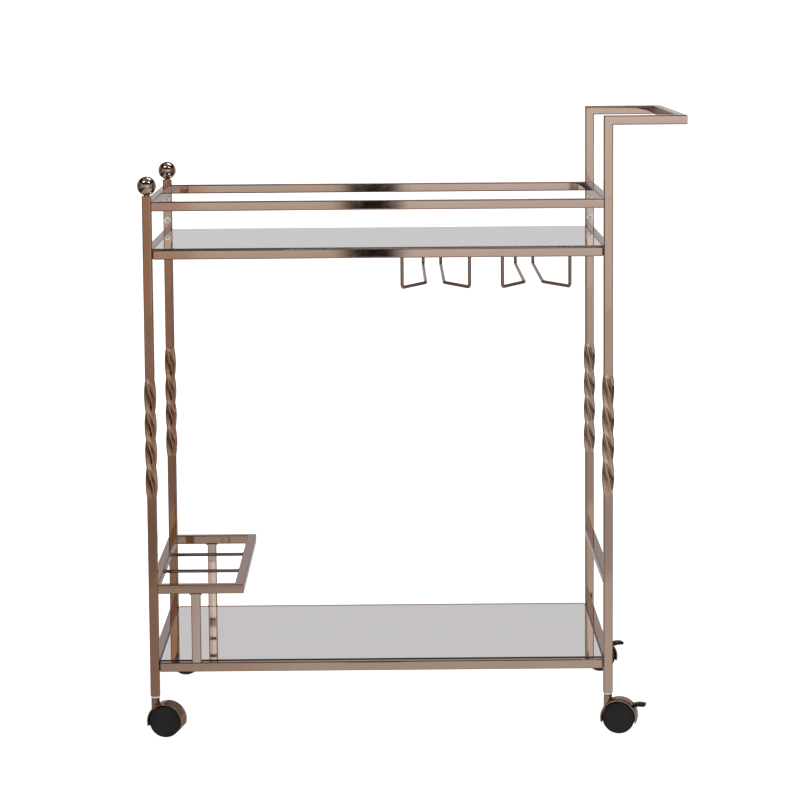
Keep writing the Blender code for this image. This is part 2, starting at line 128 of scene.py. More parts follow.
class Graph:
    """Short names for building one material's nodes."""

    def __init__(self, name, look):
        self.material = bpy.data.materials.new(name)
        self.material.use_nodes = True
        self.material.diffuse_color = (*look, 1.0)
        self.nodes = self.material.node_tree.nodes
        self.links = self.material.node_tree.links
        self.shader = self.nodes["Principled BSDF"]
        self.place = self.nodes.new("ShaderNodeTexCoord").outputs["Object"]

    def set(self, name, value):
        self.shader.inputs[name].default_value = value

    def drive(self, name, output):
        self.links.new(output, self.shader.inputs[name])

    def stretched(self, scale):
        node = self.nodes.new("ShaderNodeMapping")
        node.inputs["Scale"].default_value = scale
        self.links.new(self.place, node.inputs["Vector"])
        return node.outputs["Vector"]

    def noise(self, scale, detail=3.0, vector=None):
        node = self.nodes.new("ShaderNodeTexNoise")
        node.inputs["Scale"].default_value = scale
        node.inputs["Detail"].default_value = detail
        self.links.new(vector or self.place, node.inputs["Vector"])
        return node.outputs["Fac"]

    def ramp(self, value, low, high):
        """The middle of a noise's range, mapped to a number or a colour between low and high."""
        node = self.nodes.new("ShaderNodeValToRGB")
        for element, stop, shade in zip(node.color_ramp.elements, (0.35, 0.65), (low, high)):
            element.position = stop
            element.color = opaque(shade)
        self.links.new(value, node.inputs["Fac"])
        return node.outputs["Color"]

    def bump(self, height, strength, distance, before=None):
        node = self.nodes.new("ShaderNodeBump")
        node.inputs["Strength"].default_value = strength
        node.inputs["Distance"].default_value = distance
        self.links.new(height, node.inputs["Height"])
        if before is not None:
            self.links.new(before, node.inputs["Normal"])
        self.links.new(node.outputs["Normal"], self.shader.inputs["Normal"])
        return node.outputs["Normal"]


def opaque(shade):
    """A colour, or a number taken as a grey, with full alpha."""
    return (*shade, 1.0) if isinstance(shade, tuple) else (shade, shade, shade, 1.0)


def plated(name, low, high, rough=(0.025, 0.055)):
    """Polished plating: slow drift of colour, faint polishing haze and a barely wavy surface."""
    graph = Graph(name, high)
    graph.set("Metallic", 1.0)
    graph.set("Specular Tint", (0.62, 0.58, 0.59, 1.0))
    graph.drive("Base Color", graph.ramp(graph.noise(9.0, 4.0), low, high))
    graph.drive("Roughness", graph.ramp(graph.noise(60.0, 4.0), *rough))
    waves = graph.bump(graph.noise(20.0, 1.0), 0.03, 0.0002)
    graph.bump(graph.noise(900.0, 2.0), 0.01, 0.00003, waves)
    return graph.material


def plain_steel(name, colour, rough, metallic):
    """Drawn steel under a thin dull coat, with its grain along Z."""
    graph = Graph(name, colour)
    graph.set("Metallic", metallic)
    drawn = graph.noise(220.0, vector=graph.stretched((1.0, 1.0, 8.0)))
    darker = tuple(part * 0.82 for part in colour)
    graph.drive("Base Color", graph.ramp(drawn, darker, colour))
    graph.drive("Roughness", graph.ramp(graph.noise(140.0), rough, rough + 0.12))
    graph.bump(drawn, 0.12, 0.00008)
    return graph.material


def mirror_glass():
    """The silver seen through clear glass, in very slow waves."""
    graph = Graph("mirror_silver", (0.62, 0.61, 0.63))
    graph.set("Metallic", 1.0)
    silver = graph.ramp(graph.noise(3.0, 2.0), (0.855, 0.840, 0.840), (0.870, 0.852, 0.852))
    graph.drive("Base Color", silver)
    graph.drive("Roughness", graph.ramp(graph.noise(40.0, 4.0), 0.008, 0.03))
    graph.bump(graph.noise(5.0, 1.0), 0.015, 0.0008)
    return graph.material


def glass_arris():
    """The ground edge of the glass, slightly frosted, painted nearly black as the shade in the gap beside
    the rails.
    """
    graph = Graph("glass_arris", (0.02, 0.024, 0.026))
    graph.set("Specular IOR Level", 0.4)
    painted_gap_shade = graph.ramp(graph.noise(160.0), (0.010, 0.012, 0.013), (0.024, 0.028, 0.030))
    graph.drive("Base Color", painted_gap_shade)
    graph.drive("Roughness", graph.ramp(graph.noise(500.0, 2.0), 0.18, 0.42))
    graph.bump(graph.noise(1400.0, 2.0), 0.2, 0.00005)
    return graph.material


def mirror_backing():
    """Grey protective paint under the mirror."""
    graph = Graph("mirror_backing", (0.30, 0.29, 0.28))
    paint = graph.ramp(graph.noise(14.0, 5.0), (0.24, 0.235, 0.23), (0.32, 0.31, 0.30))
    graph.drive("Base Color", paint)
    graph.drive("Roughness", graph.ramp(graph.noise(90.0), 0.42, 0.6))
    graph.bump(graph.noise(700.0), 0.25, 0.0001)
    return graph.material


def moulded(name, low, high, rough):
    """Moulded black nylon, with a fine spark-eroded grain."""
    graph = Graph(name, high)
    graph.set("Specular IOR Level", 0.26)
    graph.drive("Base Color", graph.ramp(graph.noise(70.0, 4.0), low, high))
    graph.drive("Roughness", graph.ramp(graph.noise(220.0), rough, rough + 0.14))
    graph.bump(graph.noise(1600.0, 2.0), 0.22, 0.00008)
    return graph.material


# ---------------------------------------------------------------- meshes


def circle(radius, count):
    step = 2 * math.pi / count
    return [(radius * math.cos(i * step), radius * math.sin(i * step)) for i in range(count)]


def rounded_square(half=TUBE_HALF, corner=TUBE_CORNER, steps=4, hollow=0.0, flat_points=0):
    """Counter-clockwise outline of a square tube with round corners.

    Sides with points of their own draw in by the hollow, as they do where the tube is twisted.
    """
    inner = half - corner
    points = []
    for quarter in range(4):
        diagonal = math.radians(45 + 90 * quarter)
        x = math.copysign(inner, math.cos(diagonal))
        y = math.copysign(inner, math.sin(diagonal))
        for i in range(steps + 1):
            angle = math.radians(90 * quarter) + math.pi / 2 * i / steps
            points.append((x + corner * math.cos(angle), y + corner * math.sin(angle)))
        out = math.radians(90 * quarter + 90)
        for i in range(1, flat_points + 1):
            part = 1 - 2 * i / (flat_points + 1)
            along, away = part * inner, half - hollow * (1 - part * part)
            points.append((away * math.cos(out) + along * math.sin(out),
                           away * math.sin(out) - along * math.cos(out)))
    return points


def level_ring(outline, z, x=0.0, y=0.0):
    """An outline laid level at a height, about a vertical axis at (x, y)."""
    return [Vector((x + a, y + b, z)) for a, b in outline]


def loft_data(rings, capped=True):
    """Vertices and faces of a skin over rings of equal counts. An end ring of one point is a tip."""
    vertices, faces, rows = [], [], []
    for ring in rings:
        rows.append(list(range(len(vertices), len(vertices) + len(ring))))
        vertices.extend(Vector(point) for point in ring)
    for low, high in zip(rows, rows[1:]):
        count = max(len(low), len(high))
        for i in range(count):
            j = (i + 1) % count
            if len(low) == 1:
                faces.append((low[0], high[j], high[i]))
            elif len(high) == 1:
                faces.append((low[i], low[j], high[0]))
            else:
                faces.append((low[i], low[j], high[j], high[i]))
    if capped and len(rows[0]) > 1:
        faces.append(tuple(reversed(rows[0])))
    if capped and len(rows[-1]) > 1:
        faces.append(tuple(rows[-1]))
    return vertices, faces


def lathe_data(profile, count):
    """A solid of revolution about Z, from (radius, z) points that start and end on the axis."""
    rings = []
    for radius, z in profile:
        outline = [(0.0, 0.0)] if radius == 0.0 else circle(radius, count)
        rings.append(level_ring(outline, z))
    return loft_data(rings)


def arc_points(centre, across, up, first, steps=5):
    """The points after the first of a quarter ellipse, counter-clockwise about its centre."""
    points = []
    for i in range(1, steps + 1):
        angle = first + math.pi / 2 * i / steps
        points.append((centre[0] + across * math.cos(angle), centre[1] + up * math.sin(angle)))
    return points


def swept_rings(path, section):
    """Rings of one section carried along a path of straight runs, mitred where the path turns."""
    points = [Vector(p) for p in path]
    runs = [(b - a).normalized() for a, b in zip(points, points[1:])]
    side = Vector((0.0, 0.0, 1.0)).cross(runs[0])
    if side.length < 0.1:
        side = Vector((1.0, 0.0, 0.0))
    side.normalize()
    up = runs[0].cross(side)
    rings = []
    for i, point in enumerate(points):
        before = runs[max(i - 1, 0)]
        after = runs[min(i, len(runs) - 1)]
        mitre = (before + after).normalized()
        ring = []
        for a, b in section:
            offset = side * a + up * b
            ring.append(point + offset - before * (offset.dot(mitre) / before.dot(mitre)))
        rings.append(ring)
        turn = before.rotation_difference(after)
        side = turn @ side
        up = turn @ up
    return rings


def rounded_path(path, radius, steps=8):
    """The path with each corner replaced by an arc-like curve."""
    points = [Vector(p) for p in path]
    result = [points[0]]
    for before, corner, after in zip(points, points[1:], points[2:]):
        start = corner + (before - corner).normalized() * radius
        end = corner + (after - corner).normalized() * radius
        for i in range(steps + 1):
            t = i / steps
            result.append(start * (1 - t) ** 2 + corner * 2 * t * (1 - t) + end * t ** 2)
    result.append(points[-1])
    return result


def moved(data, matrix):
    vertices, faces = data
    return [matrix @ v for v in vertices], faces


def joined(parts):
    vertices, faces = [], []
    for some, more in parts:
        start = len(vertices)
        vertices.extend(some)
        faces.extend(tuple(start + i for i in face) for face in more)
    return vertices, faces


def piece(name, data, material, body, node, slot, angle=40.0, weighted=True):
    """One visible piece that stands for a node: a mesh with its material, riding on a body."""
    mesh = bpy.data.meshes.new(name)
    mesh.from_pydata([tuple(v) for v in data[0]], [], data[1])
    mesh.validate()
    mesh.materials.append(material)
    mesh.shade_smooth()
    mesh.set_sharp_from_angle(angle=math.radians(angle))
    obj = bpy.data.objects.new(name, mesh)
    bpy.context.scene.collection.objects.link(obj)
    if weighted:
        modifier = obj.modifiers.new("flat_faces", "WEIGHTED_NORMAL")
        modifier.keep_sharp = True
        modifier.weight = 60
    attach(obj, body)
    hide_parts(node)
    return obj


def middle(node):
    low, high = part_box(node)
    return (low + high) / 2


# ---------------------------------------------------------------- posts


def post_data(node, cuts=()):
    """A post with one full twist, which starts and ends gently, as in a cold-twisted tube.

    Cuts are heights above the twist where the post's faces are divided.
    """
    low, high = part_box(node)
    centre = (low + high) / 2
    levels = [(low.z, 0.0, 0.0)]
    for i in range(TWIST_LEVELS + 1):
        part = i / TWIST_LEVELS
        eased = part + TWIST_EASING * math.sin(TWIST_ANGLE * part) / math.pi
        pinch = max(min(part / TWIST_RUN_IN, (1 - part) / TWIST_RUN_IN, 1.0), 0.0)
        pinch = pinch * pinch * (3 - 2 * pinch)
        z = TWIST_BOTTOM_Z + part * (TWIST_TOP_Z - TWIST_BOTTOM_Z)
        levels.append((z, TWIST_ANGLE * eased, pinch))
    levels += [(z, TWIST_ANGLE, 0.0) for z in (*cuts, high.z)]
    rings = []
    for z, angle, pinch in levels:
        turn = Matrix.Rotation(angle, 3, "Z")
        spot = Vector((centre.x, centre.y, z))
        section = rounded_square(TUBE_HALF + TWIST_SWELL * pinch, TUBE_CORNER + TWIST_ROUNDING * pinch,
                                 hollow=TWIST_HOLLOW * pinch, flat_points=5)
        rings.append([turn @ Vector((a, b, 0.0)) + spot for a, b in section])
    return loft_data(rings)


def foot_ring_data(node):
    """A toothed ring pressed in at the foot of the post, round the caster's stem."""
    low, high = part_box(node)
    centre = (low + high) / 2
    teeth, bore, tip, root = 12, 0.0046, 0.0068, 0.0058
    outer, inner = [], []
    for i in range(teeth * 2):
        angle = math.pi * i / teeth
        radius = tip if i % 2 else root
        outer.append((radius * math.cos(angle), radius * math.sin(angle)))
        inner.append((bore * math.cos(angle), bore * math.sin(angle)))
    bottom, top = low.z - 0.0002, low.z + 0.0006
    levels = ((inner, bottom), (outer, bottom), (outer, top))
    return loft_data([level_ring(outline, z, centre.x, centre.y) for outline, z in levels])


def make_posts(light, dark, pale):
    """The posts, with painted reflection: each rear post takes a paler copy of the plating from the upper
    shelf to the gallery, and the left posts take a darker copy.
    """
    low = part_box("upper_shelf_back_rail")[1].z
    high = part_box("gallery_back_rail")[0].z
    # Painted reflection: the left posts take a darker copy of the plating than the right ones.
    for side, material in (("left", dark), ("right", light)):
        for end in ("front", "back"):
            node = f"{end}_{side}_post"
            cuts = (low, high) if end == "back" else ()
            data = joined([post_data(node, cuts), foot_ring_data(node)])
            obj = piece(f"{node}_tube", data, material, "frame", node, "bronze_plate", angle=35.0)
            obj.data.materials.append(pale)
            # Painted reflection: the rear posts' faces between the upper shelf and the gallery take the
            # paler copy.
            for face in obj.data.polygons:
                if cuts and low < face.center.z < high:
                    face.material_index = 1


# ---------------------------------------------------------------- rails and handle


def rail_data(node):
    """A straight tube along the longest side of its node's box.

    A shelf's long rails have tabs on their inner side, so their tube keeps to the box's outer
    side, and they narrow at their welded ends.
    """
    low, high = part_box(node)
    size = high - low
    axis = max(range(3), key=lambda i: size[i])
    centre = (low + high) / 2
    centre.z = high.z - TUBE_HALF
    tabbed = "shelf" in node and axis == 0
    if tabbed:
        centre.y = low.y + TUBE_HALF if centre.y < 0 else high.y - TUBE_HALF
    start, end = centre.copy(), centre.copy()
    start[axis], end[axis] = low[axis], high[axis]
    if not tabbed:
        return loft_data(swept_rings([start, end], rounded_square()))
    stops, sizes = (0.0, 0.0008, 0.0024), (0.80, 0.88, 1.0)
    path = [start + Vector((stop, 0.0, 0.0)) for stop in stops]
    path += [end - Vector((stop, 0.0, 0.0)) for stop in reversed(stops)]
    rings = swept_rings(path, rounded_square())
    for ring, spot, share in zip(rings, path, sizes + sizes[::-1]):
        ring[:] = [spot + (point - spot) * share for point in ring]
    return loft_data(rings)


def tab_data(node):
    """The two small plates under the glass, on the inner side of a shelf's front or back rail."""
    low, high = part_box(node)
    centre_x = (low.x + high.x) / 2
    quarter = (high.x - low.x + 2 * (TUBE_HALF + FIT_GAP)) / 4
    if (low.y + high.y) / 2 < 0:
        root, tip = low.y + 2 * TUBE_HALF - TAB_OVERLAP, high.y
    else:
        root, tip = low.y, high.y - 2 * TUBE_HALF + TAB_OVERLAP
    top = high.z - TAB_DEPTH
    parts = []
    for side in (-1, 1):
        x, y = centre_x + side * quarter, (root + tip) / 2
        outline = [(a * TAB_LENGTH, b * (tip - root)) for a, b in rounded_square(0.5, 0.12, 3)]
        parts.append(loft_data([level_ring(outline, z, x, y) for z in (top - TAB_THICKNESS, top)]))
    return joined(parts)


def make_rails(metal):
    names = [f"{tier}_{side}_rail" for tier in ("gallery", "upper_shelf", "lower_shelf")
             for side in ("front", "back", "left", "right")]
    for node in names + ["right_crossbar", "bottle_rack_side_bar"]:
        data = [rail_data(node)]
        if "shelf_front" in node or "shelf_back" in node:
            data.append(tab_data(node))
        piece(f"{node}_tube", joined(data), metal, "frame", node, "bronze_plate")


def make_handle(metal):
    """The push handle: up from one right post, out, across and back down to the other."""
    low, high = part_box("push_handle")
    post_x = middle("front_right_post").x
    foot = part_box("front_right_post")[1].z + FIT_GAP
    z, grip_x = high.z - TUBE_HALF, high.x - TUBE_HALF
    front, back = low.y + TUBE_HALF, high.y - TUBE_HALF
    path = [(post_x, front, foot), (post_x, front, z), (grip_x, front, z)]
    path += [(grip_x, back, z), (post_x, back, z), (post_x, back, foot)]
    data = loft_data(swept_rings(path, rounded_square()))
    piece("push_handle_tube", data, metal, "frame", "push_handle", "bronze_plate")


# ---------------------------------------------------------------- racks


def bead_data(centre, width, radius):
    """A slim weld fillet with tapered ends, lying along Y."""
    half = Vector((0.0, width / 2, 0.0))
    start, end = Vector(centre) - half, Vector(centre) + half
    side = Vector((0.0, 0.0, 1.0)).cross(half).normalized()
    up = half.normalized().cross(side)
    shape = ((0.0, 0.25), (0.04, 0.8), (0.1, 1.0), (0.5, 1.06), (0.9, 1.0), (0.96, 0.8), (1.0, 0.25))
    rings = []
    for part, size in shape:
        point = start.lerp(end, part)
        rings.append([point + (side * a + up * b) * size for a, b in circle(radius, 10)])
    return loft_data(rings)


def rod_data(node):
    """A round rod along X, with a small weld collar at each end."""
    low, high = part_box(node)
    centre = (low + high) / 2
    radius = (high.y - low.y) / 2 + 0.0003
    ends = [(low.x, centre.y, centre.z), (high.x, centre.y, centre.z)]
    parts = [loft_data(swept_rings(ends, circle(radius, 20)))]
    for x, out in ((low.x, 1), (high.x, -1)):
        rings = []
        for offset, size in ((-0.0002, 1.45), (0.0006, 1.35), (0.0014, 1.12), (0.0020, 1.0)):
            outline = circle(radius * size, 20)[::out]
            rings.append([Vector((x + out * offset, centre.y + a, centre.z + b)) for a, b in outline])
        parts.append(loft_data(rings))
    return joined(parts)


def make_bottle_rack(metal, wire, leg_metal):
    legs = ("bottle_rack_front_leg", "bottle_rack_back_leg")
    low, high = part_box("bottle_rack_frame")
    z = high.z - TUBE_HALF
    outer, front, back = high.x - TUBE_HALF, low.y + TUBE_HALF, high.y - TUBE_HALF
    path = [(low.x, front, z), (outer, front, z), (outer, back, z), (low.x, back, z)]
    parts = [loft_data(swept_rings(path, rounded_square()))]
    for leg in legs:
        centre = middle(leg)
        for side in (-1, 1):
            x = centre.x + side * (TUBE_HALF + 0.0002)
            parts.append(bead_data((x, centre.y, low.z + 0.0001), 0.012, 0.0024))
            parts.append(bead_data((x, centre.y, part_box(leg)[0].z), 0.011, 0.0011))
    piece("bottle_rack_tube", joined(parts), metal, "frame", "bottle_rack_frame", "bronze_plate")
    for leg in legs:
        low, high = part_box(leg)
        centre = (low + high) / 2
        ends = [(centre.x, centre.y, low.z), (centre.x, centre.y, high.z)]
        data = loft_data(swept_rings(ends, rounded_square()))
        piece(f"{leg}_tube", data, leg_metal, "frame", leg, "bronze_plate")
    for rod in ("bottle_rack_front_rod", "bottle_rack_back_rod"):
        piece(f"{rod}_wire", rod_data(rod), wire, "frame", rod, "bronze_plate")


def make_stemware_racks(metal):
    """Each rack is one wire: down, in through a funnel, and back in a straight throat, twice."""
    for node in ("stemware_rack_1", "stemware_rack_2"):
        low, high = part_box(node)
        centre_x = (low.x + high.x) / 2
        front, back = low.y + WIRE_RADIUS, high.y - WIRE_RADIUS
        z, top = low.z + WIRE_RADIUS, high.z - WIRE_RADIUS
        mouth = (high.x - low.x) / 2 - WIRE_RADIUS
        half = [(mouth, front, top), (mouth, front, z), (WIRE_THROAT, front + WIRE_FUNNEL, z)]
        half += [(WIRE_THROAT, back, z), (WIRE_THROAT, back, top)]
        other = [(-x, y, height) for x, y, height in reversed(half)]
        path = [(centre_x + x, y, height) for x, y, height in other + half]
        section = circle(WIRE_RADIUS + WIRE_COAT, 16)
        data = loft_data(swept_rings(rounded_path(path, WIRE_BEND), section))
        piece(f"{node}_wire", data, metal, "frame", node, "bronze_plate", angle=60.0, weighted=False)


def paint_corner_shade(obj, material):
    """Painted shade: a tube's round corners take a darker colour than its flats. The twist keeps one
    colour.
    """
    index = len(obj.data.materials)
    obj.data.materials.append(material)
    for face in obj.data.polygons:
        flat = max(abs(part) for part in face.normal) > 0.97
        twisted = "post" in obj.name and TWIST_BOTTOM_Z < face.center.z < TWIST_TOP_Z
        if not flat and not twisted:
            face.material_index = index


# ---------------------------------------------------------------- finials, bolts and mirrors


def make_finials(metal):
    """Each finial: a bevelled cap plate, a neck with a fillet, and a ball."""
    neck, foot, steps = 0.0042, 0.0052, 30
    inner = rounded_square(0.0069, 0.0012)
    plate = rounded_square(0.0075, 0.0012)
    for end in ("front", "back"):
        node = f"{end}_finial"
        low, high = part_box(node)
        centre = (low + high) / 2
        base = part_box(f"{end}_left_post")[1].z
        radius = (high.x - low.x) / 2
        ball_z = high.z - radius
        levels = ((inner, 0.0), (plate, 0.0004), (plate, 0.0011), (inner, 0.0015))
        cap = loft_data([level_ring(outline, base + z, centre.x, centre.y) for outline, z in levels])
        profile = [(0.0, base + 0.0012), (foot, base + 0.0012), (foot, base + 0.0019)]
        profile += [(neck, base + 0.0022), (neck, base + 0.0027)]
        start = -math.acos(neck / radius)
        for i in range(1, steps):
            angle = start + (math.pi / 2 - start) * i / steps
            profile.append((radius * math.cos(angle), ball_z + radius * math.sin(angle)))
        profile.append((0.0, high.z))
        ball = moved(lathe_data(profile, 56), Matrix.Translation((centre.x, centre.y, 0.0)))
        piece(f"{node}_ball", joined([cap, ball]), metal, "frame", node, "bronze_plate",
              angle=32.0, weighted=False)


def bolt_data():
    """Button head with a hexagon socket, about Z, its head's seat at z = 0."""
    count = 36
    shank = ((0.0022, -0.004), (0.0022, 0.0003))
    head = ((0.0054, 0.0003), (0.0056, 0.0005), (0.0056, 0.0011), (0.0053, 0.0018), (0.0046, 0.0023),
            (0.0036, 0.0026))
    socket = ((0.0026, 0.0027), (0.0024, 0.0025), (0.0023, 0.0005))
    rings = [level_ring(circle(radius, count), z) for radius, z in shank + head]
    for apothem, z in socket:
        outline = []
        for i in range(count):
            angle = 2 * math.pi * i / count
            reach = apothem / math.cos((angle % (math.pi / 3)) - math.pi / 6)
            outline.append((reach * math.cos(angle), reach * math.sin(angle)))
        rings.append(level_ring(outline, z))
    rings.append([Vector((0.0, 0.0, 0.0004))])
    return loft_data(rings)


def make_bolts(steel):
    for side in ("left", "right"):
        for end, inward in (("front", 1), ("back", -1)):
            y = middle(f"{end}_{side}_post").y + inward * TUBE_HALF
            turn = Matrix.Rotation(-inward * math.pi / 2, 4, "X")
            for level in ("lower", "upper"):
                node = f"{end}_{side}_{level}_bolt"
                spot = middle(node)
                data = moved(bolt_data(), Matrix.Translation((spot.x, y, spot.z)) @ turn)
                piece(f"{node}_head", data, steel, "frame", node, "zinc_steel",
                      angle=30.0, weighted=False)


def make_panels(silver, arris, backing):
    """Each mirror: silvered top, ground edges painted nearly black as gap shade, painted back."""
    for node in ("upper_mirror", "lower_mirror"):
        low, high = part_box(node)
        centre = (low + high) / 2
        half = (high - low) / 2
        edge = ((0.0006, low.z), (0.0, low.z + 0.0006), (0.0, high.z - 0.0030),
                (-0.0011, high.z - 0.0027), (-0.0011, high.z - 0.0010), (0.0006, high.z))
        rings = []
        for inset, z in edge:
            x, y = half.x - inset, half.y - inset
            rings.append(level_ring(((-x, -y), (x, -y), (x, y), (-x, y)), z, centre.x, centre.y))
        obj = piece(f"{node}_glass", loft_data(rings), silver, "frame", node, "mirror_glass",
                    angle=10.0, weighted=False)
        obj.data.materials.append(arris)
        obj.data.materials.append(backing)
        for face in obj.data.polygons:
            if face.normal.z < -0.9:
                face.material_index = 2
            # The edges take the painted gap shade.
            elif face.normal.z < 0.9:
                face.material_index = 1


# ---------------------------------------------------------------- casters


def arc_sweep(profile, first, last, steps):
    """A closed (radius, y) outline carried round the Y axis, from one angle to the other."""
    rings = []
    for i in range(steps + 1):
        angle = first + (last - first) * i / steps
        rings.append([Vector((r * math.cos(angle), y, r * math.sin(angle))) for r, y in profile])
    return loft_data(rings)


def shell_profile(half, lip):
    """The hood's section as (radius, y), with rounded lips at both ends."""
    thick = (HOOD_RADIUS - HOOD_INNER) / 2
    middle_radius = (HOOD_RADIUS + HOOD_INNER) / 2
    points = []
    for sign in (1, -1):
        for i in range(7):
            angle = math.pi / 2 - math.pi * i / 6
            radius = middle_radius + sign * thick * math.sin(angle)
            points.append((radius, sign * (half - lip + lip * math.cos(angle))))
    return points


def web_profile(top):
    """The section of the web between the wheels, from its bore to a radius."""
    return [(WEB_BORE, WEB_HALF), (top, WEB_HALF), (top, -WEB_HALF), (WEB_BORE, -WEB_HALF)]


def housing_data(node, braked):
    """Hood, web and boss in the caster's own frame: swivel axis Z, trailing along +X.

    A braked hood has a slot for the lever, between two strips that join its front and rear.
    """
    start, end = -HOOD_DROP, math.pi + HOOD_DROP
    slot_low, slot_high = LEVER_ANGLE - SLOT_HALF_ANGLE, LEVER_ANGLE + SLOT_HALF_ANGLE
    arcs = []
    if braked:
        hood_spans = ((start, slot_low, 20), (slot_high, end, 44))
        web_spans = ((start, slot_low, 14), (slot_high, end, 30))
        overlap = 0.002
        strip_half = (HOOD_HALF - SLOT_HALF_WIDTH) / 2
        strip_y = (HOOD_HALF + SLOT_HALF_WIDTH) / 2
        for side in (-1, 1):
            strip = [(r, y + side * strip_y) for r, y in shell_profile(strip_half, 0.0010)]
            arcs.append(arc_sweep(strip, slot_low - overlap, slot_high + overlap, 8))
        arcs.append(arc_sweep(web_profile(HOOD_INNER - 0.0001), slot_low, slot_high, 8))
    else:
        hood_spans = ((start, end, 72),)
        web_spans = ((start, end, 48),)
    arcs += [arc_sweep(shell_profile(HOOD_HALF, 0.0012), *span) for span in hood_spans]
    arcs += [arc_sweep(web_profile(HOOD_INNER + 0.0008), *span) for span in web_spans]
    hub = Matrix.Translation((TRAIL, 0.0, WHEEL_RADIUS))
    return joined([moved(arc, hub) for arc in arcs] + [boss_data(node)])


def boss_data(node):
    """The swivel boss: a short open tube with a rolled top, cut below to sit in the hood."""
    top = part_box(node)[1].z
    count = 48
    upper = ((BOSS_BORE, 0.006), (BOSS_BORE, 0.0004), (BOSS_BORE + 0.0004, 0.0),
             (BOSS_RADIUS - 0.0006, 0.0), (BOSS_RADIUS, 0.0006), (BOSS_RADIUS - 0.0001, 0.0014),
             (BOSS_RADIUS - 0.0003, 0.0022), (BOSS_RADIUS - 0.0002, 0.0032))
    rings = [level_ring(circle(radius, count), top - drop)[::-1] for radius, drop in upper]
    lowest, highest = 0.0372, 0.0520
    for rise in (0.003, 0.0):
        ring = []
        for x, y in circle(BOSS_RADIUS, count):
            arch = math.sqrt(max(HOOD_INNER ** 2 - (x - TRAIL) ** 2, 0.0))
            seat = max(min(WHEEL_RADIUS + arch + 0.0008, highest), lowest)
            ring.append(Vector((x, y, seat + rise)))
        rings.append(ring[::-1])
    return loft_data(rings, capped=False)


def wheel_data():
    """Tread, shoulder and domed cover about Z, the cover on the high side."""
    radius, inner, outer = WHEEL_RADIUS, WHEEL_INNER, WHEEL_OUTER
    edge = 0.0013
    profile = [(0.0, inner + 0.0006), (0.0050, inner + 0.0006), (0.0055, inner), (radius - 0.0016, inner)]
    profile += arc_points((radius - edge, inner + edge), edge, edge, -math.pi / 2)
    profile += [(radius, outer - 0.0040)]
    profile += arc_points((radius - 0.0018, outer - 0.0040), 0.0018, 0.0024, 0.0)
    profile += [(radius - 0.0022, outer - 0.0017), (radius - 0.0024, outer - 0.0013)]
    profile += [(radius - 0.0036, outer - 0.0009), (0.0170, outer - 0.00045), (0.0120, outer - 0.0002)]
    profile += [(0.0060, outer - 0.00005), (0.0, outer)]
    return lathe_data(profile, 72)


def lever_data():
    """Brake lever about its pivot on Y: a rounded paddle with three grip ridges."""
    outline = [
        (-0.0014, 0.0023), (0.0014, 0.0033), (0.0040, 0.0039), (0.0070, 0.0042), (0.0100, 0.0042),
        (0.0130, 0.0040), (0.0160, 0.0035), (0.0172, 0.0029), (0.0177, 0.0018), (0.0174, 0.0002),
        (0.0164, -0.0009), (0.0140, -0.0012), (0.0100, -0.0011), (0.0060, -0.0011), (0.0042, -0.0016),
        (0.0026, -0.0021), (0.0005, -0.0026), (-0.0020, -0.0017), (-0.0026, 0.0003),
    ]
    centre_x, centre_z = 0.0075, 0.0011
    half_width = ((0.0040, 1.0), (0.0060, 0.99), (0.0067, 0.93), (0.0069, 0.82))
    rings = []
    for y, size in [(-y, size) for y, size in reversed(half_width)] + list(half_width):
        middle_point = Vector((centre_x, y, centre_z))
        rings.append([middle_point + (Vector((x, y, z)) - middle_point) * size for x, z in outline])
    parts = [loft_data(rings)]
    for i in range(3):
        x, z = 0.0100 + 0.0022 * i, 0.0040 - 0.0001 * i
        ridge = ((x - 0.0004, z), (x, z + 0.0006 - 0.0001 * i), (x + 0.0004, z - 0.0001))
        parts.append(loft_data([[Vector((a, y, b)) for a, b in ridge] for y in (-0.0050, 0.0050)]))
    return joined(parts)


def stem_data(foot):
    """The caster's stem, with a bright collar just under the post's foot."""
    stem = 0.0040
    profile = [(0.0, foot - 0.0096), (stem, foot - 0.0096), (stem, foot - 0.0040)]
    profile += [(0.0061, foot - 0.0040), (0.0067, foot - 0.0036), (0.0068, foot - 0.0021)]
    profile += [(0.0067, foot - 0.0010), (0.0061, foot - 0.0005), (stem, foot - 0.0004)]
    profile += [(stem, foot + 0.006), (0.0, foot + 0.006)]
    return lathe_data(profile, 48)


def axle_data():
    """The axle about Z, with bevelled ends."""
    bevel = 0.0002
    tip, flank = AXLE_HALF, AXLE_HALF - 0.0003
    profile = [(0.0, -tip), (AXLE_RADIUS - bevel, -tip), (AXLE_RADIUS, -flank), (AXLE_RADIUS, flank)]
    profile += [(AXLE_RADIUS - bevel, tip), (0.0, tip)]
    return lathe_data(profile, 24)


